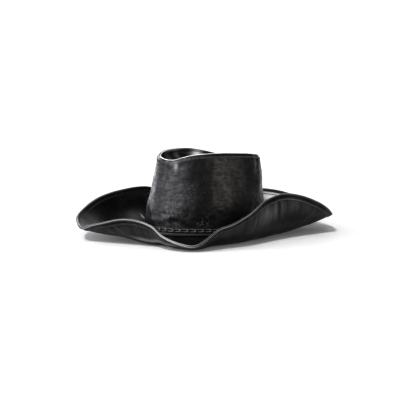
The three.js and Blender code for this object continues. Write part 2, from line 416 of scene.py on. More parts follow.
@dataclass(frozen=True)
class HatForm:
    """Shape of the hat in millimetres, whose origin is the middle of the head opening."""

    head_length: float = 103.0
    head_width: float = 85.0
    crown_wall: float = 1.8
    brim_wall: float = 1.8
    tip_wall: float = 1.6
    brim_width: float = 105.0
    seam_gap: float = 0.3
    flange_foot: float = 0.94
    tip_middle_depth: float = 22.0

    def outward(self, angle: Array) -> Array:
        """Outward direction seen from above, at angles in degrees."""
        turn = np.radians(angle)
        return np.stack([np.sin(turn), -np.cos(turn), np.zeros_like(turn)], -1)

    def oval(self, angle: Array, length: Array, width: Array) -> Array:
        """Point of an oval where its outward direction is that of the angle.

        Args:
            angle: Angles in degrees.
            length: Half its length, along Y.
            width: Half its width, along X.

        Returns:
            Points with no height.
        """
        out = self.outward(angle)
        spread = np.hypot(width * out[..., 0], length * out[..., 1])
        flat = [width**2 * out[..., 0] / spread, length**2 * out[..., 1] / spread]
        return np.stack([*flat, np.zeros_like(spread)], -1)

    def brim(self, angle: Array, along: Array, across: Array) -> Array:
        """Point of the brim, whose section bends evenly from its root to its edge.

        Args:
            angle: Angles in degrees.
            along: Way from the crown over the leather.
            across: Way from the middle of its thickness, up on top.

        Returns:
            Points that the floor stops from sinking below it.
        """
        angle, along, across = np.broadcast_arrays(angle, along, across)
        root = np.radians(BRIM_ROOT(angle))
        bend = np.radians(BRIM_EDGE(angle)) - root
        bent = np.minimum(along, self.brim_width)
        pitch = root + bend * bent / self.brim_width
        radius = self.brim_width / bend
        straight = along - bent
        reach = radius * (np.sin(pitch) - np.sin(root)) + straight * np.cos(pitch)
        rise = radius * (np.cos(root) - np.cos(pitch)) + straight * np.sin(pitch)
        lean = across * np.sin(pitch) * (along > 0)
        middle = self.oval(angle, self.head_length, self.head_width)
        middle = middle + self.outward(angle) * (self.seam_gap + reach - lean)[..., None]
        height = BRIM_SEAT(angle) + rise + across * np.cos(pitch)
        middle[..., 2] = np.maximum(height, np.maximum(across + self.brim_wall / 2, 0))
        return middle

    def crown(self, angle: Array, rise: Array, inset: Array) -> Array:
        """Point of the crown at a share of the way up, pressed in from its outer face.

        Args:
            angle: Angles in degrees.
            rise: Share of the way up, 1 at the rim.
            inset: Way in from the outer face.

        Returns:
            Points.
        """
        angle, rise, inset = np.broadcast_arrays(angle, rise, inset)
        point = self.oval(angle, CROWN_LENGTH(rise), CROWN_WIDTH(rise))
        point = point - self.outward(angle) * (inset + total(CROWN_DENTS, angle, rise))[..., None]
        point[..., 1] += CROWN_SHIFT(rise)
        point[..., 2] = lerp(self.crown_foot(angle), RIM_HEIGHT(angle), rise)
        return point

    def crown_foot(self, angle: Array) -> Array:
        """Height of the crown's lower edge."""
        return BRIM_SEAT(angle) - self.brim_wall / 2

    def rise_at(self, angle: Array, height: Array) -> Array:
        """Share of the way up the crown at a height."""
        foot = self.crown_foot(angle)
        return (height - foot) / (RIM_HEIGHT(angle) - foot)

    def dish(self, angle: Array, reach: float, depth: Array) -> Array:
        """Point of the tip's dish: a share of the way out from its middle, and under the rim."""
        foot = self.crown(angle, self.flange_foot, self.crown_wall + self.seam_gap)
        middle = np.array([0.0, float(CROWN_SHIFT(1.0)), 0.0])
        point = lerp(middle, foot, reach)
        middle_height = RIM_HEIGHT(np.arange(4) * FULL_TURN / 4).mean()
        point[..., 2] = lerp(middle_height, RIM_HEIGHT(angle), reach**2) - depth
        return point


BRIM_SEAT = around(BRIM_FOLDS, "seat")
BRIM_ROOT = around(BRIM_FOLDS, "root")
BRIM_EDGE = around(BRIM_FOLDS, "edge")
RIM_HEIGHT = around(RIM_HEIGHTS, "height")
CROWN_RISES = [row.rise for row in CROWN_SECTIONS]
CROWN_LENGTH = SmoothCurve(CROWN_RISES, [row.length for row in CROWN_SECTIONS])
CROWN_WIDTH = SmoothCurve(CROWN_RISES, [row.width for row in CROWN_SECTIONS])
CROWN_SHIFT = SmoothCurve(CROWN_RISES, [row.shift for row in CROWN_SECTIONS])


def box_middle(points: Array) -> Array:
    """Middle of the plan of the points' box, with no height."""
    middle = (points.min((0, 1)) + points.max((0, 1))) / 2
    middle[2] = 0.0
    return middle


def even_angles(line: Line, count: int, offset: float = 0.0) -> Array:
    """Angles that part a closed line into equal lengths.

    Args:
        line: Gives the line's points at angles.
        count: How many parts.
        offset: Share of a part to start after the front.

    Returns:
        The angles in degrees.
    """
    angles = np.linspace(0, FULL_TURN, LINE_SAMPLES)
    points = line(angles)
    steps = np.linalg.norm(np.diff(points, axis=0), axis=1)
    walked = np.concatenate([[0.0], np.cumsum(steps)])
    return np.interp((np.arange(count) + offset) / count * walked[-1], walked, angles)


def corner_cut(rings: Array, times: int) -> Array:
    """Round the corners of lines of points, keeping their ends.

    Args:
        rings: Points, with the second axis along each line.
        times: How often each corner is cut.

    Returns:
        Lines with about twice as many points for each time.
    """
    near, far = 0.75, 0.25
    for _ in range(times):
        here, after = rings[:, :-1], rings[:, 1:]
        cut = np.stack([here * near + after * far, here * far + after * near], 2)
        cut = cut.reshape(len(rings), -1, rings.shape[-1])
        rings = np.concatenate([rings[:, :1], cut, rings[:, -1:]], 1)
    return rings


def half_circle(radius: float, steps: int) -> tuple[Array, Array]:
    """Places on a half circle, from its lower end over its side to its upper end.

    Args:
        radius: Its radius.
        steps: How many stretches it has.

    Returns:
        How far out each place is, and how high.
    """
    turn = np.linspace(-math.pi / 2, math.pi / 2, steps + 1)
    return radius * np.cos(turn), radius * np.sin(turn)


def ring_faces(stations: int, steps: int) -> Array:
    """Four-sided faces of a closed section swept once round the hat.

    Args:
        stations: How many sections it has.
        steps: Points of each section.

    Returns:
        Corner indices, one row for each face.
    """
    here = np.arange(stations)[:, None] * steps
    after = ((np.arange(stations) + 1) % stations)[:, None] * steps
    step = np.arange(steps)[None, :]
    following = (step + 1) % steps
    corners = [here + step, after + step, after + following, here + following]
    return np.stack(np.broadcast_arrays(*corners), -1).reshape(-1, 4)


class Workbench:
    """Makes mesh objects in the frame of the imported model, and hands each to its body."""

    def __init__(self, middle: Array) -> None:
        """Keep the plan's middle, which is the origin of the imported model."""
        self.middle = middle

    def mesh(
        self, name: str, points: Array, faces: Sequence[Sequence[int]]
    ) -> Piece:
        """Mesh object at the origin, with its place in its mesh.

        Args:
            name: Name of the piece.
            points: Points in millimetres, in the form's own frame.
            faces: Corner indices.

        Returns:
            The linked object, shaded smooth.
        """
        places = (points.reshape(-1, 3) - self.middle) * MM
        data = bpy.data.meshes.new(name)
        data.from_pydata(places.tolist(), [], [list(map(int, face)) for face in faces])
        data.validate()
        data.shade_smooth()
        made = bpy.data.objects.new(name, data)
        bpy.context.scene.collection.objects.link(made)
        return made

    def ring(self, name: str, points: Array) -> Piece:
        """Mesh object of closed sections that are swept once round the hat."""
        return self.mesh(name, points, ring_faces(*points.shape[:2]))

    def dress(
        self,
        piece: Piece,
        outer: Material,
        inner: Material,
        inside: Array,
    ) -> None:
        """Give a piece its two finishes.

        Args:
            piece: The piece.
            outer: Finish of most faces.
            inner: Finish of the others.
            inside: True for each face that has the inner finish.
        """
        piece.data.materials.append(outer)
        piece.data.materials.append(inner)
        piece.data.polygons.foreach_set("material_index", inside.astype(np.int32))

    def paint(self, piece: Piece, attribute: str, values: Array) -> None:
        """Store a number at each point of a piece, for its material.

        Args:
            piece: The piece.
            attribute: Name that the material reads.
            values: One number for each point.
        """
        layer = piece.data.attributes.new(attribute, "FLOAT", "POINT")
        layer.data.foreach_set("value", np.ascontiguousarray(values, np.float32).ravel())

    def hand_over(self, piece: Piece, slot: str, *nodes: str) -> Piece:
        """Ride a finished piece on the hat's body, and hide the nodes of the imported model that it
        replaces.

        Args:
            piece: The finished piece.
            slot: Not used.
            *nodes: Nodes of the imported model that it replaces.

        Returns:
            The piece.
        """
        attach(piece, "root")
        if nodes:
            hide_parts(*nodes)
        triangles = sum(len(face.vertices) - 2 for face in piece.data.polygons)
        log.info("%s: %d triangles", piece.name, triangles)
        return piece


class Value:
    """Output of a node. Arithmetic on it adds Math nodes to its graph."""

    def __init__(self, graph: "NodeGraph", socket: bpy.types.NodeSocket) -> None:
        """Wrap a socket of a graph."""
        self.graph = graph
        self.socket = socket

    def _math(self, operation: str, *terms: "Value | float") -> "Value":
        """Result of a Math node on some terms."""
        return self.graph.value("ShaderNodeMath", {"operation": operation}, dict(enumerate(terms)))

    def __add__(self, other: "Value | float") -> "Value":
        """Sum."""
        return self._math("ADD", self, other)

    def __sub__(self, other: "Value | float") -> "Value":
        """Difference."""
        return self._math("SUBTRACT", self, other)

    def __rsub__(self, other: float) -> "Value":
        """Difference from a number on the left."""
        return self._math("SUBTRACT", other, self)

    def __mul__(self, other: "Value | float") -> "Value":
        """Product."""
        return self._math("MULTIPLY", self, other)

    def ease(self, low: float, high: float) -> "Value":
        """Smooth step of this number, from 0 at low to 1 at high."""
        inputs = {"Value": self, "From Min": low, "From Max": high}
        return self.graph.value("ShaderNodeMapRange", {"interpolation_type": "SMOOTHSTEP"}, inputs)


class NodeGraph:
    """A node tree that is being wired, for a material, the world or repeated shapes."""

    def __init__(self, tree: bpy.types.NodeTree) -> None:
        """Wrap a node tree."""
        self.tree = tree

    @classmethod
    def of(cls, owner: Material | bpy.types.World) -> "NodeGraph":
        """Empty graph of a new material or world."""
        owner.use_nodes = True
        owner.node_tree.nodes.clear()
        return cls(owner.node_tree)

    def node(
        self,
        kind: str,
        settings: Mapping[str, object] | None = None,
        inputs: Mapping[str | int, object] | None = None,
    ) -> bpy.types.Node:
        """Add a node, choose its settings, and then fill or link its sockets.

        Args:
            kind: Type of the node.
            settings: The node's own properties.
            inputs: Value, socket or plain value for its inputs, by name or number.

        Returns:
            The node.
        """
        made = self.tree.nodes.new(kind)
        for name, value in (settings or {}).items():
            setattr(made, name, value)
        for key, value in (inputs or {}).items():
            source = value.socket if isinstance(value, Value) else value
            if isinstance(source, bpy.types.NodeSocket):
                self.tree.links.new(source, made.inputs[key])
            else:
                made.inputs[key].default_value = source
        return made

    def value(
        self,
        kind: str,
        settings: Mapping[str, object] | None = None,
        inputs: Mapping[str | int, object] | None = None,
        output: str | int = 0,
    ) -> Value:
        """Add a node as the method node does, and wrap the output of this name or number."""
        return Value(self, self.node(kind, settings, inputs).outputs[output])

    def attribute(self, name: str) -> Value:
        """Number that is stored at the points of a piece."""
        return self.value("ShaderNodeAttribute", {"attribute_name": name}, output="Fac")

    def mix(self, share: Value, plain: object, other: object) -> Value:
        """Colour between two, by a share of the other one."""
        inputs = {0: share, 6: plain, 7: other}
        return self.value("ShaderNodeMix", {"data_type": "RGBA"}, inputs, 2)

    def bump(self, height: Value) -> Value:
        """Normal of a relief whose heights are in millimetres."""
        inputs = {"Height": height, "Distance": MM, "Strength": 1.0}
        return self.value("ShaderNodeBump", None, inputs)


@dataclass(frozen=True)
class Noise:
    """Noise over a surface: its waves a metre, its detail, and the values it is eased between."""

    scale: float
    detail: float
    low: float = 0.0
    high: float = 1.0

    def raw(self, graph: NodeGraph, place: Value) -> Value:
        """The noise as it is."""
        inputs = {"Vector": place, "Scale": self.scale, "Detail": self.detail}
        return graph.value("ShaderNodeTexNoise", None, inputs)

    def eased(self, graph: NodeGraph, place: Value) -> Value:
        """The noise eased from 0 at its low value to 1 at its high one."""
        return self.raw(graph, place).ease(self.low, self.high)


WHITE: Triple = (1.0, 1.0, 1.0)
COOL: Triple = (0.95, 0.945, 1.0)
WARM: Triple = (1.0, 0.95, 0.88)


def rgba(colour: Triple) -> tuple[float, float, float, float]:
    """Colour with full opacity."""
    return (*colour, 1.0)


@dataclass(frozen=True)
class Finish:
    """Finish of a piece, over its Object coordinates."""

    name: str

    def material(self) -> Material:
        """Build the material.

        Returns:
            A node material with one principled shader.
        """
        made = bpy.data.materials.new(self.name)
        graph = NodeGraph.of(made)
        place = graph.value("ShaderNodeTexCoord", output="Object")
        shader = graph.value("ShaderNodeBsdfPrincipled", None, self.inputs(graph, place))
        graph.node("ShaderNodeOutputMaterial", None, {"Surface": shader})
        return made

    def inputs(self, graph: NodeGraph, place: Value) -> Mapping[str, object]:
        """What the shader's inputs are, by name."""
        raise NotImplementedError


@dataclass(frozen=True)
class Leather(Finish):
    """Waxed leather with grain, wrinkles, uneven tone and scuffs.

    It is lighter where its stored attribute for rubbed spots and painted highlights and sheen is
    high, and scuffed where the rub attribute is. Colours are linear, and reliefs are in
    millimetres.
    """

    base: Triple = (0.0018, 0.0018, 0.0019)
    cloudy: Triple = (0.0042, 0.0039, 0.0036)
    scuffed: Triple = (0.036, 0.036, 0.038)
    # Pale colour of rubbed leather, also used for painted highlights and sheen.
    worn_and_highlit: Triple = (0.52, 0.52, 0.535)
    stretch: Triple = (1.0, 1.0, 1.0)
    gloss: float = 0.36
    dull: float = 0.5
    scuff_dull: float = 0.12
    sheen: float = 0.38
    coat: float = 0.2
    coat_dull: float = 0.28
    mottling: float = 0.09
    scuffing: float = 0.5
    grain: float = 0.1
    grain_scale: float = 620.0
    grain_edge: float = 0.55
    speckle_grain: float = 0.2
    wrinkle: float = 0.35
    dimple: float = 0.45
    cloud_noise: Noise = Noise(30, 3, 0.38, 0.68)
    speckle_noise: Noise = Noise(420, 4, 0.5, 0.64)
    patch_noise: Noise = Noise(34, 4, 0.5, 0.68)
    mottle_noise: Noise = Noise(170, 5, 0.34, 0.66)
    wrinkle_noise: Noise = Noise(95, 3)
    dimple_noise: Noise = Noise(260, 5)

    def inputs(self, graph: NodeGraph, place: Value) -> Mapping[str, object]:
        """What the shader's inputs are, by name."""
        stretching = {0: place, 1: self.stretch}
        drawn = graph.value("ShaderNodeVectorMath", {"operation": "MULTIPLY"}, stretching)
        cloud = self.cloud_noise.eased(graph, drawn)
        mottle = self.mottle_noise.eased(graph, drawn)
        speckle = self.speckle_noise.eased(graph, place)
        patches = self.patch_noise.eased(graph, place)
        scuffs = speckle * (patches * self.scuffing + graph.attribute("rub"))
        colour = graph.mix(cloud, rgba(self.base), rgba(self.cloudy))
        colour = graph.mix(scuffs, colour, rgba(self.scuffed))
        # Rubbed spots and painted highlights and sheen, from the stored attribute.
        colour = graph.mix(graph.attribute("wear_and_highlight"), colour, rgba(self.worn_and_highlit))
        rough = cloud * (self.dull - self.gloss) + self.gloss
        rough = rough + scuffs * self.scuff_dull + (mottle - 0.5) * self.mottling
        return {
            "Base Color": colour,
            "Roughness": rough,
            "Specular IOR Level": self.sheen,
            "Coat Weight": (1.0 - mottle) * (2.0 * self.coat),
            "Coat Roughness": self.coat_dull,
            "Normal": graph.bump(self._relief(graph, place, speckle)),
        }

    def _relief(self, graph: NodeGraph, place: Value, speckle: Value) -> Value:
        """Height of the grain and wrinkles."""
        inputs = {"Vector": place, "Scale": self.grain_scale}
        cells = graph.value("ShaderNodeTexVoronoi", None, inputs, "Distance")
        wrinkles = self.wrinkle_noise.raw(graph, place)
        wrinkles = wrinkles + self.dimple_noise.raw(graph, place) * self.dimple
        grain = cells.ease(0.0, self.grain_edge) + speckle * self.speckle_grain
        return grain * self.grain + wrinkles * self.wrinkle


@dataclass(frozen=True)
class Flesh(Finish):
    """Raw inner side of leather: matt, brownish grey and fibrous."""

    base: Triple = (0.03, 0.026, 0.023)
    pale: Triple = (0.06, 0.053, 0.048)
    nap_noise: Noise = Noise(420, 4)
    cloud_noise: Noise = Noise(30, 2)
    nap_share: float = 0.6
    cloud_share: float = 0.5
    pale_from: tuple[float, float] = (0.4, 0.75)
    nap_height: float = 0.25
    dull: float = 0.9
    sheen: float = 0.2

    def inputs(self, graph: NodeGraph, place: Value) -> Mapping[str, object]:
        """What the shader's inputs are, by name."""
        nap = self.nap_noise.raw(graph, place)
        cloud = self.cloud_noise.raw(graph, place)
        tone = (nap * self.nap_share + cloud * self.cloud_share).ease(*self.pale_from)
        return {
            "Base Color": graph.mix(tone, rgba(self.base), rgba(self.pale)),
            "Roughness": self.dull,
            "Specular IOR Level": self.sheen,
            "Normal": graph.bump(nap * self.nap_height),
        }


@dataclass(frozen=True)
class Thread(Finish):
    """Waxed twisted thread."""

    base: Triple = (0.03, 0.03, 0.031)
    pale: Triple = (0.1, 0.1, 0.105)
    gloss: float = 0.35
    twist_noise: Noise = Noise(2200, 1, 0.4, 0.65)
    twist_height: float = 0.15

    def inputs(self, graph: NodeGraph, place: Value) -> Mapping[str, object]:
        """What the shader's inputs are, by name."""
        twist = self.twist_noise.raw(graph, place)
        tone = twist.ease(self.twist_noise.low, self.twist_noise.high)
        return {
            "Base Color": graph.mix(tone, rgba(self.base), rgba(self.pale)),
            "Roughness": self.gloss,
            "Normal": graph.bump(twist * self.twist_height),
        }


@dataclass(frozen=True)
class Paper(Finish):
    """Matt paper that glows faintly, so that the shadow on it stays light."""

    tone: Triple = (0.4, 0.4, 0.4)
    dull: float = 0.9
    sheen: float = 0.1
    glow: float = 0.11

    def inputs(self, graph: NodeGraph, place: Value) -> Mapping[str, object]:
        """What the shader's inputs are, by name."""
        return {
            "Base Color": rgba(self.tone),
            "Roughness": self.dull,
            "Specular IOR Level": self.sheen,
            "Emission Color": rgba(WHITE),
            "Emission Strength": self.glow,
        }


class RepeatShape(Enum):
    """Small shapes that are repeated along a line."""

    STITCH = "stitch"
    LINK = "link"


@dataclass(frozen=True)
class Repeat:
    """One small shape set along a line on a surface by Geometry Nodes.

    Sizes are in millimetres, and jitter is the largest turn out of line in degrees.
    """

    name: str
    shape: RepeatShape
    length: float
    width: float
    thickness: float
    jitter: float
    seed: int

    def piece(
        self,
        bench: Workbench,
        places: Array,
        headings: Array,
        facings: Array,
        material: Material,
    ) -> Piece:
        """Set the shape at each place and turn the result into a plain mesh.

        Args:
            bench: Makes the objects.
            places: Middle of each shape, in millimetres.
            headings: Direction of each shape's length.
            facings: Direction that each shape's thickness faces.
            material: Its finish.

        Returns:
            The finished piece, with no modifier.
        """
        made = bench.mesh(self.name, places, [])
        for label, vectors in (("heading", headings), ("facing", facings)):
            layer = made.data.attributes.new(label, "FLOAT_VECTOR", "POINT")
            layer.data.foreach_set("vector", np.ascontiguousarray(vectors, np.float32).ravel())
        tree = self._tree()
        modifier = made.modifiers.new(self.name, "NODES")
        modifier.node_group = tree
        settings = {
            "Length": self.length * MM,
            "Width": self.width * MM,
            "Thickness": self.thickness * MM,
            "Jitter": math.radians(self.jitter),
            "Seed": self.seed,
            "Finish": material,
        }
        for item in tree.interface.items_tree:
            if item.name in settings and item.in_out == "INPUT":
                modifier[item.identifier] = settings[item.name]
        evaluated = made.evaluated_get(bpy.context.evaluated_depsgraph_get())
        plain = bpy.data.meshes.new_from_object(evaluated)
        made.modifiers.clear()
        made.data = plain
        return made

    def _tree(self) -> bpy.types.NodeTree:
        """Node tree that sets the shape on each point, turned to its heading and facing."""
        tree = bpy.data.node_groups.new(self.name, "GeometryNodeTree")
        sockets = {
            "Points": "NodeSocketGeometry",
            **dict.fromkeys(("Length", "Width", "Thickness", "Jitter"), "NodeSocketFloat"),
            "Seed": "NodeSocketInt",
            "Finish": "NodeSocketMaterial",
        }
        for label, kind in sockets.items():
            tree.interface.new_socket(name=label, in_out="INPUT", socket_type=kind)
        output = {"in_out": "OUTPUT", "socket_type": "NodeSocketGeometry"}
        tree.interface.new_socket(name="Pieces", **output)
        graph = NodeGraph(tree)
        outputs = graph.node("NodeGroupInput").outputs
        given = {label: Value(graph, outputs[label]) for label in sockets}
        is_stitch = self.shape is RepeatShape.STITCH
        shape = self._stitch(graph, given) if is_stitch else self._link(graph, given)
        inputs = {"Points": given["Points"], "Instance": shape, "Rotation": self._turned(graph)}
        placed = graph.value("GeometryNodeInstanceOnPoints", None, inputs)
        inputs = {"Instances": placed, "Rotation": self._sway(graph, given)}
        swayed = graph.value("GeometryNodeRotateInstances", None, inputs)
        real = graph.value("GeometryNodeRealizeInstances", None, {"Geometry": swayed})
        smooth = graph.value("GeometryNodeSetShadeSmooth", None, {"Geometry": real})
        inputs = {"Geometry": smooth, "Material": given["Finish"]}
        dressed = graph.value("GeometryNodeSetMaterial", None, inputs)
        graph.node("NodeGroupOutput", None, {0: dressed})
        return tree

    def _turned(self, graph: NodeGraph) -> Value:
        """Rotation of each shape to its point's heading and facing."""
        kind = "FunctionNodeAlignRotationToVector"
        upright = graph.value(kind, {"axis": "Z"}, {"Vector": self._direction(graph, "facing")})
        inputs = {"Rotation": upright, "Vector": self._direction(graph, "heading")}
        return graph.value(kind, {"axis": "X", "pivot_axis": "Z"}, inputs)

    def _sway(self, graph: NodeGraph, given: Mapping[str, Value]) -> Value:
        """Random turn of each shape, up to the jitter either way."""
        inputs = {2: given["Jitter"] * -1.0, 3: given["Jitter"], "Seed": given["Seed"]}
        draw = graph.value("FunctionNodeRandomValue", {"data_type": "FLOAT"}, inputs, 1)
        return graph.value("ShaderNodeCombineXYZ", None, {"Z": draw})

    def _direction(self, graph: NodeGraph, label: str) -> Value:
        """Vector stored on the points under a name."""
        kind = "GeometryNodeInputNamedAttribute"
        return graph.value(kind, {"data_type": "FLOAT_VECTOR"}, {"Name": label}, "Attribute")

    def _stitch(self, graph: NodeGraph, given: Mapping[str, Value]) -> Value:
        """Plump stitch: a ball drawn out to its length, width and thickness."""
        sides = {"Segments": 8, "Rings": 6, "Radius": 0.5}
        ball = graph.value("GeometryNodeMeshUVSphere", None, sides)
        size = {"X": given["Length"], "Y": given["Width"], "Z": given["Thickness"]}
        scale = graph.value("ShaderNodeCombineXYZ", None, size)
        return graph.value("GeometryNodeTransform", None, {"Geometry": ball, "Scale": scale})

    def _link(self, graph: NodeGraph, given: Mapping[str, Value]) -> Value:
        """Loop of lace with round corners, whose radius is a share of its width."""
        corner_share, corner_steps, lace_sides = 0.36, 4, 8
        size = {"Width": given["Length"], "Height": given["Width"]}
        box = graph.value("GeometryNodeCurvePrimitiveQuadrilateral", {"mode": "RECTANGLE"}, size)
        inputs = {"Curve": box, "Count": corner_steps, "Radius": given["Width"] * corner_share}
        loop = graph.value("GeometryNodeFilletCurve", {"mode": "POLY"}, inputs)
        inputs = {"Resolution": lace_sides, "Radius": given["Thickness"] * 0.5}
        lace = graph.value("GeometryNodeCurvePrimitiveCircle", None, inputs)
        inputs = {"Curve": loop, "Profile Curve": lace}
        return graph.value("GeometryNodeCurveToMesh", None, inputs)


RIM_STITCH = Repeat("rim_stitches", RepeatShape.STITCH, 2.9, 0.95, 0.9, jitter=6, seed=5)
SEAM_STITCH = Repeat("back_seam_stitches", RepeatShape.STITCH, 2.6, 0.8, 0.7, jitter=4, seed=6)


class BrimFace(Enum):
    """The two faces of the brim, as the side of its middle on which they lie."""

    TOP = 1
    UNDERSIDE = -1


def surface_frame(place: Place, angle: Array, step: Array) -> tuple[Array, ...]:
    """Points of a surface with the directions of its two parameters.

    Args:
        place: Gives the surface's points at angles and steps.
        angle: Angles in degrees.
        step: Way along the section.

    Returns:
        Points, unit vectors towards greater angles, and unit vectors towards greater steps.
    """
    small_turn, small_step = 0.05, 0.002
    around_hat = place(angle + small_turn, step) - place(angle - small_turn, step)
    along_section = place(angle, step + small_step) - place(angle, step - small_step)
    around_hat /= np.linalg.norm(around_hat, axis=-1)[..., None]
    along_section /= np.linalg.norm(along_section, axis=-1)[..., None]
    return place(angle, step), around_hat, along_section


@dataclass
class Brim:
    """Brim of one thick leather, its folded edge strip and the strip's two rows of stitches.

    Lengths are in millimetres, turns in degrees, and rubbing and painted highlight run from 0 to 1.
    """

    form: HatForm
    bench: Workbench
    leather: Material
    under_leather: Material
    strip_leather: Material
    thread: Material
    stations: int = 640
    panel_steps: int = 48
    still_reach: float = 4.0
    free_reach: float = 30.0
    strip_face: float = 9.0
    strip_wall: float = 0.8
    strip_lift: float = 0.12
    lift_reach: float = 1.5
    edge_depth: float = 1.3
    face_places: tuple[float, ...] = (0.25, 0.8, 2.0, 4.0, 6.2)
    cut_tuck: float = 0.3
    # Pale raw cut edges of the strip, which also carry painted highlight.
    cut_wear_and_highlight: tuple[float, ...] = (0.4, 0.5, 0.25, 0.03, 0.0, 0.0, 0.02)
    fold_steps: int = 14
    fold_out_power: float = 0.55
    fold_up_power: float = 0.75
    fold_highlight: float = 0.02
    groove_depth: float = 0.35
    groove_reach: float = 0.9
    corner: float = 0.86
    corner_reach: float = 0.13
    # Painted highlights on the fold's top and lower corners.
    top_corner_highlight: float = 0.55
    low_corner_highlight: float = 0.36
    sheen_face_reach: float = 3.5
    fold_highlight_half: float = 1.5
    hidden_steps: int = 4
    seam_inset: float = 2.3
    stitch_pitch: float = 3.6
    stitch_share: float = 0.74
    joint_angle: float = 170.5
    joint_lap: float = 30.0
    joint_rise: float = 0.3
    joint_height: float = 1.5
    joint_ridge: float = 1.6
    ridge_reach: float = 1.3
    streak_turn: float = 3.3
    streak_step: float = 14.0
    streak_mean: float = 0.85
    bend_change: float = 4.0
    bend_end: float = 2.0
    # Painted highlight along the underside's bend: fainter and narrower on the wearer's right of
    # the front.
    bend_highlight: tuple[float, float] = (0.08, 0.34)
    bend_reach: tuple[float, float] = (0.025, 0.05)

    def __post_init__(self) -> None:
        """Draw the leather's unevenness."""
        self.waves = Ripple(11, 45, 120, 0.5)
        self.small_waves = Ripple(12, 16, 36, 0.12)
        self.streaks = Ripple(13, 5, 16, 0.2)

    def unevenness(self, angle: Array, along: Array) -> Array:
        """How far the leather stands off its even form."""
        middle = self.form.brim(angle, along, 0.0)
        free = smoothstep(self.still_reach, self.free_reach, along)
        return free * (self.waves(middle) + self.small_waves(middle))

    def place(self, angle: Array, along: Array, across: Array) -> Array:
        """Point of the uneven brim, by angle, way along its section and way across its wall."""
        return self.form.brim(angle, along, across + self.unevenness(angle, along))

    def edge_line(self, angle: Array) -> Array:
        """Line of the brim's outer edge."""
        return self.form.brim(angle, self.form.brim_width, 0.0)

    def lap(self, angle: Array) -> Array:
        """Extra height where the strip's end lies over its beginning."""
        past = turn_between(angle, self.joint_angle)
        rise = smoothstep(0, self.joint_rise, past)
        rise = rise * (1 - smoothstep(self.joint_lap / 2, self.joint_lap, past))
        ridge = self.joint_ridge * hump(past, self.ridge_reach)
        return self.strip_wall * rise * (self.joint_height + ridge)

    def panel(self) -> Piece:
        """Brim panel, a closed ring of leather that ends inside the folded strip."""
        half = self.form.brim_wall / 2
        along = np.linspace(0, self.form.brim_width - self.edge_depth, self.panel_steps)
        angles = even_angles(self.edge_line, self.stations)[:, None]
        under = self.place(angles, along[None, :], -half)
        top = self.place(angles, along[None, ::-1], half)
        points = np.concatenate([under, top], 1)
        piece = self.bench.ring("brim_panel", points)
        step = np.tile(np.arange(points.shape[1]), len(angles))
        self.bench.dress(piece, self.leather, self.under_leather, step < len(along) - 1)
        steps = np.concatenate([along, along[::-1]])[None, :] / self.form.brim_width
        upper = (np.arange(steps.shape[1]) >= len(along))[None, :]
        # The top gets its painted sheen and glint; the underside gets painted sheen and a painted
        # highlight where it bends.
        wear_and_highlight = upper * total(BRIM_PAINTED_SHEEN, angles, steps)
        self.bench.paint(piece, "wear_and_highlight", wear_and_highlight + ~upper * self.under_painted_light(angles, steps))
        return self.bench.hand_over(piece, "brim_leather", "brim")

    def under_painted_light(self, angles: Array, steps: Array) -> Array:
        """Painted light on the underside: streaked patches of painted sheen, and a painted
        highlight along the line where it bends upwards.
        """
        angles, steps = np.broadcast_arrays(angles, steps)
        streak_places = [angles * self.streak_turn, steps * self.streak_step, np.zeros_like(angles)]
        streaked = np.clip(self.streak_mean + self.streaks(np.stack(streak_places, -1)), 0, None)
        turned = turn_between(angles, 0)
        turns = [row.angle for row in UNDER_BEND_HIGHLIGHT]
        bend = np.interp(turned, turns, [row.step for row in UNDER_BEND_HIGHLIGHT])
        shown = smoothstep(turns[0], turns[0] + self.bend_end, turned)
        shown = shown * (1 - smoothstep(turns[-1] - self.bend_end, turns[-1], turned))
        later = smoothstep(-self.bend_change, self.bend_change, turned)
        line = lerp(*self.bend_highlight, later) * hump(steps - bend, lerp(*self.bend_reach, later))
        return total(UNDER_PAINTED_SHEEN, angles, steps) * streaked + shown * line

    def strip_section(self) -> tuple[Array, Array, Array]:
        """Section of the folded strip.

        Returns:
            Way along the brim, way across it, and rubbing with painted highlight, from the
            underside's cut edge round to the top's.
        """
        half = self.form.brim_wall / 2
        outer = half + self.strip_wall
        rim = self.form.brim_width - self.strip_face
        turn = self.form.brim_width - self.edge_depth
        out, up = half_circle(1.0, self.fold_steps)
        fold_along = turn + self.edge_depth * out**self.fold_out_power
        fold_across = outer * np.sign(up) * np.abs(up) ** self.fold_up_power
        groove = self.groove_depth * hump(fold_across, self.groove_reach)
        face = rim + np.array(self.face_places)
        raised = outer + self.strip_lift * hump(face - rim, self.lift_reach)
        tuck = raised[0] - self.cut_tuck
        cut = [rim, rim]
        along = np.concatenate([cut, face, fold_along - groove, face[::-1], cut])
        across = np.concatenate([[-half, -tuck], -raised, fold_across, raised[::-1], [tuck, half]])
        # Painted highlights on the fold's corners, over its pale cut edges.
        corner = fold_across / outer
        top = self.top_corner_highlight * hump(corner - self.corner, self.corner_reach)
        low = self.low_corner_highlight * hump(corner + self.corner, self.corner_reach)
        folded = self.fold_highlight + top + low
        return along, across, np.concatenate([self.cut_wear_and_highlight, folded, self.cut_wear_and_highlight[::-1]])

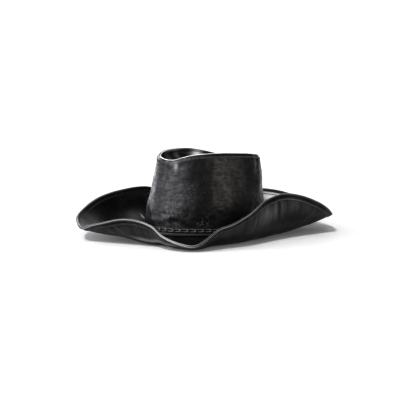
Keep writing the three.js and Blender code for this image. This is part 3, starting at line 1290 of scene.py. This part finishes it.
    def strip(self) -> Piece:
        """Folded edge strip, a closed ring with its two cut edges."""
        along, across, wear_and_highlight = self.strip_section()
        half = self.form.brim_wall / 2
        angles = even_angles(self.edge_line, self.stations * 2)[:, None]
        lap = self.lap(angles) * (np.sign(across) * (np.abs(across) > half))[None, :]
        outside = self.place(angles, along[None, :], across[None, :] + lap)
        panel_edge = self.form.brim_width - self.edge_depth
        inner = np.linspace(along[-1], panel_edge, self.hidden_steps)[1:]
        back = np.concatenate([inner, inner[::-1]])
        back_across = np.repeat([half, -half], len(inner))
        inside = self.place(angles, back[None, :], back_across[None, :])
        piece = self.bench.ring("brim_edge_strip", np.concatenate([outside, inside], 1))
        piece.data.materials.append(self.strip_leather)
        # Painted highlights spared at the back, painted sheen on the top face there, and a painted
        # highlight along the fold at the front.
        near_cut = self.form.brim_width - self.strip_face + self.sheen_face_reach
        flat = (across > half) & (along < near_cut)
        fold = (np.abs(across) < self.fold_highlight_half) & (along > panel_edge)
        worn_and_highlit = wear_and_highlight[None, :] * (1 - total(STRIP_HIGHLIGHT_SPARED, angles))
        worn_and_highlit = worn_and_highlit + flat[None, :] * STRIP_FACE_SHEEN.at(angles)
        worn_and_highlit = worn_and_highlit + fold[None, :] * total(STRIP_FOLD_HIGHLIGHT, angles)
        hidden = np.zeros((len(angles), len(back)))
        self.bench.paint(piece, "wear_and_highlight", np.concatenate([worn_and_highlit, hidden], 1))
        return self.bench.hand_over(piece, "binding_leather", "brim_binding")

    def stitches(self, face: BrimFace) -> Piece:
        """Row of stitches through the strip, seen on one face.

        Args:
            face: The face of the brim on which they are seen.

        Returns:
            The piece.
        """
        along = self.form.brim_width - self.strip_face + self.seam_inset
        across = face.value * (self.form.brim_wall / 2 + self.strip_wall)
        row = lambda angle, step: self.place(angle, step, across)
        line = row(HALF_DEGREES, np.full_like(HALF_DEGREES, along))
        length = np.linalg.norm(np.diff(line, axis=0), axis=1).sum()
        count = round(length / self.stitch_pitch)
        angles = even_angles(lambda angle: row(angle, np.full_like(angle, along)), count, 0.5)
        places, around_hat, outwards = surface_frame(row, angles, np.full_like(angles, along))
        facing = np.cross(outwards, around_hat) * face.value
        shape = Repeat(
            name=f"edge_stitches_{face.name.lower()}",
            shape=RepeatShape.STITCH,
            length=self.stitch_pitch * self.stitch_share,
            width=0.75,
            thickness=0.7,
            jitter=5,
            seed=3,
        )
        piece = shape.piece(self.bench, places, around_hat, facing, self.thread)
        return self.bench.hand_over(piece, "thread")

    def build(self) -> None:
        """Make the panel, the strip and its stitches."""
        self.panel()
        self.strip()
        for face in BrimFace:
            self.stitches(face)


@dataclass
class Crown:
    """Crown wall with its back seam, the dished tip, and the stitches that join them.

    Lengths are in millimetres, turns in degrees, and rises are shares of the crown's height.
    """

    form: HatForm
    bench: Workbench
    leather: Material
    tip_leather: Material
    flesh: Material
    thread: Material
    stitch_count: int = 170
    stations_per_stitch: int = 5
    seam_drop: float = 5.2
    pucker_depth: float = 0.3
    pucker_reach: float = 2.6
    foot_rises: tuple[float, float] = (0.1, 0.25)
    rim_rises: tuple[float, float] = (0.9, 1.0)
    rim_stiffness: float = 0.6
    crease_foot: tuple[float, float] = (0.1, 0.17)
    crease_top: tuple[float, float] = (0.26, 0.42)
    crease_least: float = 0.45
    shoulder: float = 1.9
    shoulder_start: float = 0.945
    shoulder_power: float = 1.3
    back_seam: float = 180.0
    seam_groove: float = 0.6
    groove_spread: float = 0.5
    seam_ridge: float = 0.25
    ridge_spread: float = 1.8
    seam_pitch: float = 3.6
    seam_beside: float = 1.7
    seam_rises: tuple[float, float] = (0.14, 0.94)
    wall_turn: float = 0.86
    wall_end: float = 0.992
    low_steps: int = 34
    high_steps: int = 18
    edge_steps: int = 8
    edge_rise: float = 0.995
    edge_wear_and_highlight_power: float = 0.5
    back_steps: int = 16
    back_top: float = 0.99
    gather_count: int = 23
    gather_height: float = 0.45
    gather_reach: float = 0.16
    gather_sway: float = 2.2
    gather_sways: int = 5
    flange_top: float = 0.99
    inmost_reach: float = 0.04
    flange_reach: float = 0.999
    fold_height: float = 3.2
    tip_pleat_height: float = 1.1
    # Painted highlights on the tip's broad fold and its pleats.
    fold_highlight: float = 0.5
    tip_pleat_highlight: float = 0.1
    tip_fold_reach: tuple[float, float] = (0.35, 0.8)
    tip_pleat_reach: tuple[float, float] = (0.4, 0.85)
    lip_steps: int = 8
    # Pale raw cut edges of the tip, which also carry a painted highlight.
    cut_wear_and_highlight: float = 1.0
    cut_side_wear_and_highlight: float = 0.8

    def __post_init__(self) -> None:
        """Draw the leather's unevenness and part the rim into stations."""
        self.waves = Ripple(21, 35, 90, 0.5)
        self.small_waves = Ripple(22, 12, 26, 0.14)
        self.creases = Ripple(23, 6, 15, 0.45, (2.6, 2.6, 1.0))
        self.tip_waves = Ripple(24, 18, 50, 0.6)
        self.rim_angles = even_angles(self.rim_line, self.stitch_count * self.stations_per_stitch)
        self.tip_angles = self.rim_angles[:: self.stations_per_stitch // 2]

    def rim_line(self, angle: Array) -> Array:
        """Line of the crown's rim."""
        return self.form.crown(angle, 1.0, 0.0)

    def relief(self, angle: Array, rise: Array) -> Array:
        """How far the leather is pressed in from its even form."""
        angle, rise = np.broadcast_arrays(angle, rise)
        middle = self.form.crown(angle, rise, 0.0)
        free = smoothstep(*self.foot_rises, rise)
        free = free * (1 - self.rim_stiffness * smoothstep(*self.rim_rises, rise))
        pressed = free * (self.waves(middle) + self.small_waves(middle))
        creased = smoothstep(*self.crease_foot, rise) * (1 - smoothstep(*self.crease_top, rise))
        creased = creased * (self.crease_least + CREASED_FRONT.at(angle))
        pressed = pressed + creased * self.creases(middle)
        shoulder = smoothstep(self.shoulder_start, 1.0, rise) ** self.shoulder_power
        pressed = pressed + self.shoulder * shoulder - total(CROWN_PLEATS, angle, rise)
        from_seam = turn_between(angle, self.back_seam)
        pressed = pressed + self.seam_groove * hump(from_seam, self.groove_spread)
        return pressed - self.seam_ridge * hump(from_seam, self.ridge_spread)

    def face(self, angle: Array, rise: Array) -> Array:
        """Point of the crown's uneven outer face."""
        return self.form.crown(angle, rise, self.relief(angle, rise))

    def pucker(self, station: Array, drop: Array) -> Array:
        """How far the rim's stitches draw the leather in between them, from 0 to 1.

        Args:
            station: Number of the section, so many to a stitch.
            drop: Way below the rim in millimetres.

        Returns:
            Share of the full depth.
        """
        pull = 0.5 + 0.5 * np.cos(2 * math.pi * station / self.stations_per_stitch)
        return pull * hump(drop - self.seam_drop, self.pucker_reach)

    def wall(self) -> Piece:
        """Crown wall, a closed ring with a rounded cut edge at the rim."""
        angles = self.rim_angles[:, None]
        station = np.arange(len(angles))[:, None]
        low = np.linspace(0, self.wall_turn, self.low_steps)
        high = np.linspace(self.wall_turn, self.wall_end, self.high_steps)[1:]
        rises = np.concatenate([low, high])[None, :]
        drop = (1 - rises) * (RIM_HEIGHT(angles) - BRIM_SEAT(angles))
        press = self.relief(angles, rises) + self.pucker_depth * self.pucker(station, drop)
        outside = self.form.crown(angles, rises, press)
        radius = self.form.crown_wall / 2
        out, up = half_circle(radius, self.edge_steps)
        rim_press = self.relief(angles, np.full_like(angles, self.edge_rise))
        edge = self.form.crown(angles, 1.0, rim_press + radius - up[None, ::-1])
        edge[..., 2] += out[None, ::-1] - radius
        back = np.linspace(self.back_top, 0, self.back_steps)[None, :]
        inside = self.form.crown(angles, back, self.form.crown_wall + self.relief(angles, back))
        points = np.concatenate([outside, edge, inside], 1)
        piece = self.bench.ring("crown_panel", points)
        steps = points.shape[1]
        first_inside = outside.shape[1] + edge.shape[1]
        step = np.tile(np.arange(steps), len(angles))
        raw = (step >= first_inside - 1) & (step < steps - 1)
        self.bench.dress(piece, self.leather, self.flesh, raw)
        wear_and_highlight = np.zeros(points.shape[:2])
        # The rim's cut edge is pale as raw leather and also carries a painted highlight, spared at
        # the sides.
        rounded = (out / radius)[None, ::-1] ** self.edge_wear_and_highlight_power
        wear_and_highlight[:, outside.shape[1] : first_inside] = (1 - total(RIM_HIGHLIGHT_SPARED, angles)) * rounded
        # Painted highlights on the pleat and puckers, and rubbing with painted highlight between
        # the rim's stitches at the front.
        ticks = self.pucker(station + self.stations_per_stitch / 2, drop)
        wear_and_highlight[:, : rises.shape[1]] += total(CROWN_PAINTED_HIGHLIGHTS, angles, rises)
        wear_and_highlight[:, : rises.shape[1]] += ticks**2 * RIM_TICK_WEAR_AND_HIGHLIGHT.at(angles)
        self.bench.paint(piece, "wear_and_highlight", wear_and_highlight)
        rub = np.zeros(points.shape[:2])
        rub[:, : rises.shape[1]] = total(CROWN_SCUFFS, angles, rises)
        self.bench.paint(piece, "rub", rub)
        return self.bench.hand_over(piece, "crown_leather", "crown_wall")

    def dish_folds(self, angle: Array, reach: Array) -> tuple[Array, Array]:
        """How strong the tip's one broad fold and its narrow pleats are, from 0 to 1."""
        fold = TIP_FOLD.at(angle) * smoothstep(*self.tip_fold_reach, reach)
        return fold, total(TIP_PLEATS, angle) * smoothstep(*self.tip_pleat_reach, reach)

    def dish_relief(self, angle: Array, reach: Array, points: Array) -> Array:
        """How far the tip's leather stands up from its even dish."""
        turn = np.radians(angle)
        sway = self.gather_sway * np.sin(turn * self.gather_sways)
        gathers = np.sin(turn * self.gather_count + sway)
        gathers = self.gather_height * hump(1 - reach, self.gather_reach) * gathers
        fold, pleats = self.dish_folds(angle, reach)
        folds = self.fold_height * fold + self.tip_pleat_height * pleats
        return self.tip_waves(points) + gathers + folds

    def dish_lines(self, extra: float, cuts: int) -> Array:
        """Lines of the tip from its rim down the flange and in to its middle.

        Args:
            extra: How far under the upper face they lie.
            cuts: How often their corners are rounded.

        Returns:
            Points with the share of the way out as a fourth number, without the middle itself.
        """
        form, angles, inmost = self.form, self.tip_angles, self.inmost_reach
        flange = form.crown_wall + form.seam_gap / 2 + form.tip_wall - extra
        ahead = (1 - form.outward(angles)[..., 1]) / 2
        rings = [
            (form.crown(angles, self.flange_top, flange + self.shoulder), 1.0),
            (form.crown(angles, form.flange_foot, flange), 1.0),
        ]
        for ring in TIP_RINGS:
            depth = lerp(ring.back, ring.front, ahead) + extra
            rings.append((form.dish(angles, ring.reach, depth), ring.reach))
        depth = np.full_like(angles, form.tip_middle_depth + extra)
        rings.append((form.dish(angles, inmost, depth), inmost))
        columns = [np.insert(ring, 3, reach, axis=1) for ring, reach in rings]
        lines = corner_cut(np.stack(columns, 1), cuts)
        relief = self.dish_relief(angles[:, None], lines[..., 3], lines[..., :3])
        lines[..., 2] += relief * (lines[..., 3] < self.flange_reach)
        return lines

    def tip(self) -> Piece:
        """Dished tip, a closed cup whose flange stands inside the rim."""
        upper = self.dish_lines(extra=0.0, cuts=3)
        fold, pleats = self.dish_folds(self.tip_angles[:, None], upper[..., 3])
        upper = upper[..., :3]
        lower = self.dish_lines(extra=self.form.tip_wall, cuts=2)[:, ::-1, :3]
        top_edge = (upper[:, :1] + lower[:, -1:]) / 2 + np.array([0, 0, self.form.tip_wall / 2])
        points = np.concatenate([upper, lower, top_edge], 1)
        stations, steps = points.shape[:2]
        inmost = upper.shape[1] - 1
        open_step = np.tile(np.arange(steps), stations) == inmost
        faces = [list(face) for face in ring_faces(stations, steps)[~open_step]]
        poles = [stations * steps, stations * steps + 1]
        for station in range(stations):
            here, after = station * steps, (station + 1) % stations * steps
            faces.append([here + inmost, after + inmost, poles[0]])
            faces.append([after + inmost + 1, here + inmost + 1, poles[1]])
        middles = [upper[:, -1].mean(0), lower[:, 0].mean(0)]
        corners = np.concatenate([points.reshape(-1, 3), middles])
        piece = self.bench.mesh("crown_tip_panel", corners, faces)
        ring_steps = np.tile(np.delete(np.arange(steps), inmost), stations)
        step = np.concatenate([ring_steps, np.tile([0, inmost + 1], stations)])
        self.bench.dress(piece, self.tip_leather, self.flesh, (step > inmost) & (step < steps - 2))
        wear_and_highlight = np.zeros((stations, steps))
        # Painted highlights on the tip's fold, pleats and lip; its cut edges are pale as raw
        # leather and carry a painted highlight too.
        wear_and_highlight[:, : inmost + 1] = self.fold_highlight * fold + self.tip_pleat_highlight * pleats
        wear_and_highlight[:, : self.lip_steps] += TIP_LIP_HIGHLIGHT.at(self.tip_angles)[:, None]
        wear_and_highlight[:, -1] = self.cut_wear_and_highlight
        wear_and_highlight[:, 0] = self.cut_side_wear_and_highlight
        self.bench.paint(piece, "wear_and_highlight", np.concatenate([wear_and_highlight.ravel(), [0.0, 0.0]]))
        return self.bench.hand_over(piece, "tip_leather", "crown_tip")

    def stitches(self, shape: Repeat, angles: Array, rises: Array) -> Piece:
        """Upright stitches on the crown's outer face.

        Args:
            shape: The stitch.
            angles: Angle of each in degrees.
            rises: Share of the way up of each.

        Returns:
            The piece.
        """
        places, around_hat, upwards = surface_frame(self.face, angles, rises)
        facing = np.cross(around_hat, upwards)
        piece = shape.piece(self.bench, places, upwards, facing, self.thread)
        return self.bench.hand_over(piece, "thread")

    def rim_stitches(self) -> Piece:
        """Row of stitches under the rim, one between each two puckers."""
        angles = even_angles(self.rim_line, self.stitch_count, 0.5)
        rises = 1 - self.seam_drop / (RIM_HEIGHT(angles) - BRIM_SEAT(angles))
        return self.stitches(RIM_STITCH, angles, rises)

    def seam_stitches(self) -> Piece:
        """Two upright rows of stitches, one on each side of the back seam."""
        rises = np.arange(*self.seam_rises, self.seam_pitch / RIM_HEIGHT(self.back_seam))
        sides = [self.back_seam - self.seam_beside, self.back_seam + self.seam_beside]
        return self.stitches(SEAM_STITCH, np.repeat(sides, len(rises)), np.tile(rises, 2))

    def build(self) -> None:
        """Make the wall, the tip and their stitches."""
        self.wall()
        self.tip()
        self.rim_stitches()
        self.seam_stitches()


@dataclass
class Band:
    """Flat strap round the foot of the crown, with a laced braid of tilted links on it.

    Lengths are in millimetres, turns in degrees, and rubbing and painted highlight run from 0 to 1.
    """

    form: HatForm
    bench: Workbench
    leather: Material
    lace: Material
    stations: int = 480
    lift: float = 0.8
    height: float = 12.0
    wall: float = 1.6
    steps: int = 25
    round_edge: float = 0.5
    bevel_height: float = 0.15
    bevel_depth: float = 0.25
    edge_depth: float = 0.7
    pressed_line: float = 1.6
    line_reach: float = 0.35
    line_depth: float = 0.3
    edge_wear: float = 0.03
    edge_reach: float = 1.4
    rubbed_line: float = 2.8
    rubbed_reach: float = 0.6
    rubbed_wear: float = 0.1
    braid_height: float = 5.1
    braid_drop: float = 1.5
    braid_gap: float = 0.9
    lace_width: float = 1.8
    link_count: int = 56
    link_tilt: float = 8.0
    link_lap: float = 0.6
    link_least_wear: float = 0.01
    # Rubbing and a painted highlight on the raised end of each link.
    link_end_wear_and_highlight: float = 0.17
    link_end_power: int = 4

    def place(self, angle: Array, height: Array, offset: Array) -> Array:
        """Point beside the crown, at a height over the brim's top and a way off the crown."""
        level = BRIM_SEAT(angle) + self.form.brim_wall / 2 + height
        return self.form.crown(angle, self.form.rise_at(angle, level), -offset)

    def strap(self) -> Piece:
        """Flat strap, a closed belt with rounded edges and a line pressed near the lower one."""
        heights = np.linspace(self.round_edge, self.height - self.round_edge, self.steps)
        outer = self.form.seam_gap + self.wall
        inner = self.form.seam_gap / 2
        outside = outer - self.line_depth * hump(heights - self.pressed_line, self.line_reach)
        top, bevel = self.height, self.bevel_height
        tall = np.concatenate([[bevel], heights, [top - bevel, top, top, 0.0, 0.0]])
        bevelled, edge = outer - self.bevel_depth, outer - self.edge_depth
        away = np.concatenate([[bevelled], outside, [bevelled, edge, inner, inner, edge]])
        angles = even_angles(lambda angle: self.place(angle, 0.0, 0.0), self.stations)[:, None]
        points = self.place(angles, self.lift + tall[None, :], away[None, :])
        piece = self.bench.ring("band_strap", points)
        piece.data.materials.append(self.leather)
        wear_and_highlight = self.edge_wear * hump(tall, self.edge_reach)
        wear_and_highlight = wear_and_highlight + self.rubbed_wear * hump(tall - self.rubbed_line, self.rubbed_reach)
        self.bench.paint(piece, "wear_and_highlight", wear_and_highlight[None, :] * np.ones_like(angles))
        return self.bench.hand_over(piece, "band_leather", "hat_band")

    def braid(self) -> Piece:
        """Laced braid: loops of lace, each with its far end over the beginning of the next."""
        level = self.lift + self.height - self.braid_drop - self.braid_height / 2
        away = self.form.seam_gap + self.wall + self.braid_gap + self.lace_width / 2
        row = lambda angle, height: self.place(angle, height, np.full_like(angle, away))
        line = lambda angle: row(angle, np.full_like(angle, level))
        angles = even_angles(line, self.link_count)
        places, around_hat, upwards = surface_frame(row, angles, np.full_like(angles, level))
        facing = np.cross(around_hat, upwards)
        tilt = math.radians(self.link_tilt)
        heading = around_hat * math.cos(tilt) + facing * math.sin(tilt)
        tilted = facing * math.cos(tilt) - around_hat * math.sin(tilt)
        pitch = np.linalg.norm(np.roll(places, -1, 0) - places, axis=1).mean()
        shape = Repeat(
            name="band_braid_links",
            shape=RepeatShape.LINK,
            length=pitch + self.link_lap,
            width=self.braid_height - self.lace_width,
            thickness=self.lace_width,
            jitter=1.5,
            seed=8,
        )
        piece = shape.piece(self.bench, places, heading, tilted, self.lace)
        # Each link's raised end is rubbed and also carries a painted highlight.
        raised = self.link_rise(piece, heading)
        wear_and_highlight = self.link_least_wear + self.link_end_wear_and_highlight * raised**self.link_end_power
        self.bench.paint(piece, "wear_and_highlight", wear_and_highlight)
        return self.bench.hand_over(piece, "braid_leather", "band_braid")

    def link_rise(self, piece: Piece, heading: Array) -> Array:
        """How far along its link each corner of the braid lies, 1 at the end over the next link."""
        corners = np.empty(len(piece.data.vertices) * 3)
        piece.data.vertices.foreach_get("co", corners)
        corners = corners.reshape(self.link_count, -1, 3)
        middles = corners.mean(1)
        along = ((corners - middles[:, None]) * heading[:, None]).sum(-1)
        return ((along / np.abs(along).max() + 1) / 2).ravel()

    def build(self) -> None:
        """Make the strap and its braid."""
        self.strap()
        self.braid()


@dataclass(frozen=True)
class SoftLight:
    """Broad light: its angle round the hat, its height, how broad and how strong it is."""

    name: str
    angle: float
    elevation: float
    breadth: float
    strength: float
    colour: Triple
    diffuse: bool = True
    glossy: bool = True


SOFT_LIGHTS = (
    SoftLight("key_high", 0, 55, 50, 0.9, WHITE),
    SoftLight("key_low", -25, 30, 40, 1.2, COOL),
    SoftLight("floor_key", 17, 41, 3.5, 4.7, WHITE, glossy=False),
    SoftLight("floor_fill", 40, 18, 50, 2.6, WHITE, glossy=False),
    SoftLight("floor_left", -35, 14, 40, 2.6, WHITE, glossy=False),
    SoftLight("left_sheen", -49, 41, 25, 0.9, WHITE, diffuse=False),
    SoftLight("overhead_right", 125, 79, 10, 0.3, WHITE),
    SoftLight("overhead_left", -60, 72, 12, 0.2, WHITE),
    SoftLight("back_light", 215, 30, 20, 0.8, WHITE),
    SoftLight("key_front", 5, 30, 40, 0.6, COOL),
    SoftLight("front_high", 35, 50, 50, 0.35, WHITE),
    SoftLight("left_low", -45, 14, 30, 1.0, COOL),
    SoftLight("left_side", -75, 14, 30, 0.4, COOL),
    SoftLight("left_back", -105, 12, 30, 0.42, COOL),
    SoftLight("right_low", 90, 14, 34, 0.95, WARM),
    SoftLight("left_rim", -114, 12, 24, 0.5, COOL),
    SoftLight("right_side", 118, 12, 30, 0.26, WARM),
    SoftLight("back_low", 195, 15, 30, 0.1, WHITE),
)


@dataclass
class Studio:
    """Pale floor, soft lights, white surroundings and the camera.

    Angles are in degrees. The view's distance, the aim's height and the floor's radius are in
    metres. The hat's scale is in pixels a centimetre of the photograph, and the aim in its pixels.
    """

    form: HatForm
    view_angle: float = 35.0
    view_elevation: float = 6.0
    view_distance: float = 1.8
    aim_height: float = 0.055
    image_side: float = 410.0
    aim_across: float = 205.4
    aim_down: float = 196.7
    hat_scale: float = 6.66
    sensor: float = 36.0
    floor_radius: float = 8.0
    floor_sides: int = 96
    backdrop_turn: float = 130.0
    backdrop_elevation: float = 10.0
    backdrop_edge: tuple[float, float] = (0.1, 0.9)
    backdrop_glow: float = 0.1
    dim_glow: float = 0.008
    seen_glow: float = 1.1
    contrast: float = 0.7

    def direction(self, angle: float, elevation: float) -> Vector:
        """Unit vector from the hat towards an angle round it and a height."""
        tilt = math.radians(elevation)
        flat = Vector(self.form.outward(np.array(angle, float)).tolist())
        return flat * math.cos(tilt) + Vector((0, 0, 1)) * math.sin(tilt)

    def hang(self, name: str, data: bpy.types.ID, back: Vector) -> Piece:
        """Link a light or camera that stands in a direction and faces the hat."""
        made = bpy.data.objects.new(name, data)
        made.rotation_mode = "QUATERNION"
        made.rotation_quaternion = back.to_track_quat("Z", "Y")
        bpy.context.scene.collection.objects.link(made)
        return made

    def camera(self, middle: Array) -> None:
        """Set the camera at the photograph's angle.

        Args:
            middle: Middle of the plan in the form's own frame, in millimetres.
        """
        data = bpy.data.cameras.new("camera")
        data.sensor_width = self.sensor
        pixels_per_metre = self.hat_scale * 100
        data.lens = pixels_per_metre * self.view_distance / self.image_side * self.sensor
        data.shift_x = (self.image_side / 2 - self.aim_across) / self.image_side
        data.shift_y = (self.aim_down - self.image_side / 2) / self.image_side
        back = self.direction(self.view_angle, self.view_elevation)
        made = self.hang("camera", data, back)
        aim = Vector((-middle[0] * MM, -middle[1] * MM, self.aim_height))
        made.location = aim + back * self.view_distance
        bpy.context.scene.camera = made

    def floor(self) -> None:
        """Lay a wide round pale floor."""
        turns = [2 * math.pi * side / self.floor_sides for side in range(self.floor_sides)]
        radius = self.floor_radius
        rim = [(radius * math.cos(turn), radius * math.sin(turn), 0.0) for turn in turns]
        data = bpy.data.meshes.new("floor")
        data.from_pydata(rim, [], [list(range(self.floor_sides))])
        made = bpy.data.objects.new("floor", data)
        bpy.context.scene.collection.objects.link(made)
        data.materials.append(Paper("paper").material())

    def light(self) -> None:
        """Hang the soft lights."""
        for soft in SOFT_LIGHTS:
            data = bpy.data.lights.new(soft.name, "SUN")
            data.angle = math.radians(soft.breadth)
            data.energy = soft.strength
            data.color = soft.colour
            made = self.hang(soft.name, data, self.direction(soft.angle, soft.elevation))
            made.visible_diffuse = soft.diffuse
            made.visible_glossy = soft.glossy

    def surroundings(self) -> None:
        """White backdrop, which lights the hat from behind and leaves the camera's side dim."""
        world = bpy.data.worlds.new("studio")
        graph = NodeGraph.of(world)
        bpy.context.scene.world = world
        heading = graph.value("ShaderNodeTexCoord", output="Generated")
        backdrop = self.direction(self.view_angle + self.backdrop_turn, self.backdrop_elevation)
        inputs = {0: heading, 1: backdrop}
        towards = graph.value("ShaderNodeVectorMath", {"operation": "DOT_PRODUCT"}, inputs, "Value")
        glow = towards.ease(*self.backdrop_edge) * self.backdrop_glow + self.dim_glow
        seen = graph.value("ShaderNodeLightPath", output="Is Camera Ray")
        inputs = {"Color": rgba(WHITE), "Strength": seen * (self.seen_glow - glow) + glow}
        shade = graph.value("ShaderNodeBackground", None, inputs)
        graph.node("ShaderNodeOutputWorld", None, {"Surface": shade})

    def build(self, middle: Array) -> None:
        """Set up the whole studio around the hat."""
        self.camera(middle)
        self.floor()
        self.light()
        self.surroundings()
        settings = bpy.context.scene.view_settings
        settings.view_transform = "Standard"
        settings.look = "None"
        settings.gamma = self.contrast


def main() -> None:
    """Build the studio and the hat's sub-assemblies in order."""
    logging.basicConfig(level=logging.INFO, format="%(name)s: %(message)s")
    form = HatForm()
    edge = form.brim(HALF_DEGREES[:, None], form.brim_width, np.array([[-1.0, 1.0]]))
    middle = box_middle(edge)
    bench = Workbench(middle)
    Studio(form).build(middle)
    thread = Thread("waxed_thread").material()
    flesh = Flesh("raw_inner_side").material()
    crown_leather = Leather("crown_leather", stretch=(0.75, 0.75, 1.5)).material()
    tip_leather = Leather("tip_leather", wrinkle=0.3).material()
    brim_leather = Leather(
        "brim_leather", wrinkle=0.28, coat=0.12, mottling=0.06, sheen=0.3
    ).material()
    under_leather = Leather(
        "brim_under_leather",
        base=(0.003, 0.0027, 0.0025),
        cloudy=(0.008, 0.007, 0.006),
        wrinkle=0.28,
        coat=0.02,
        mottling=0.04,
        sheen=0.1,
    ).material()
    strip_leather = Leather(
        "strip_leather",
        base=(0.001, 0.001, 0.001),
        cloudy=(0.0018, 0.0017, 0.0016),
        gloss=0.4,
        wrinkle=0.2,
        sheen=0.12,
        coat=0.06,
    ).material()
    strap_leather = Leather("strap_leather", wrinkle=0.2).material()
    lace_leather = Leather(
        "lace_leather", gloss=0.25, dull=0.32, grain=0.05, wrinkle=0.1, coat=0.3
    ).material()
    Crown(form, bench, crown_leather, tip_leather, flesh, thread).build()
    Brim(form, bench, brim_leather, under_leather, strip_leather, thread).build()
    Band(form, bench, strap_leather, lace_leather).build()


if __name__ == "__main__":
    main()
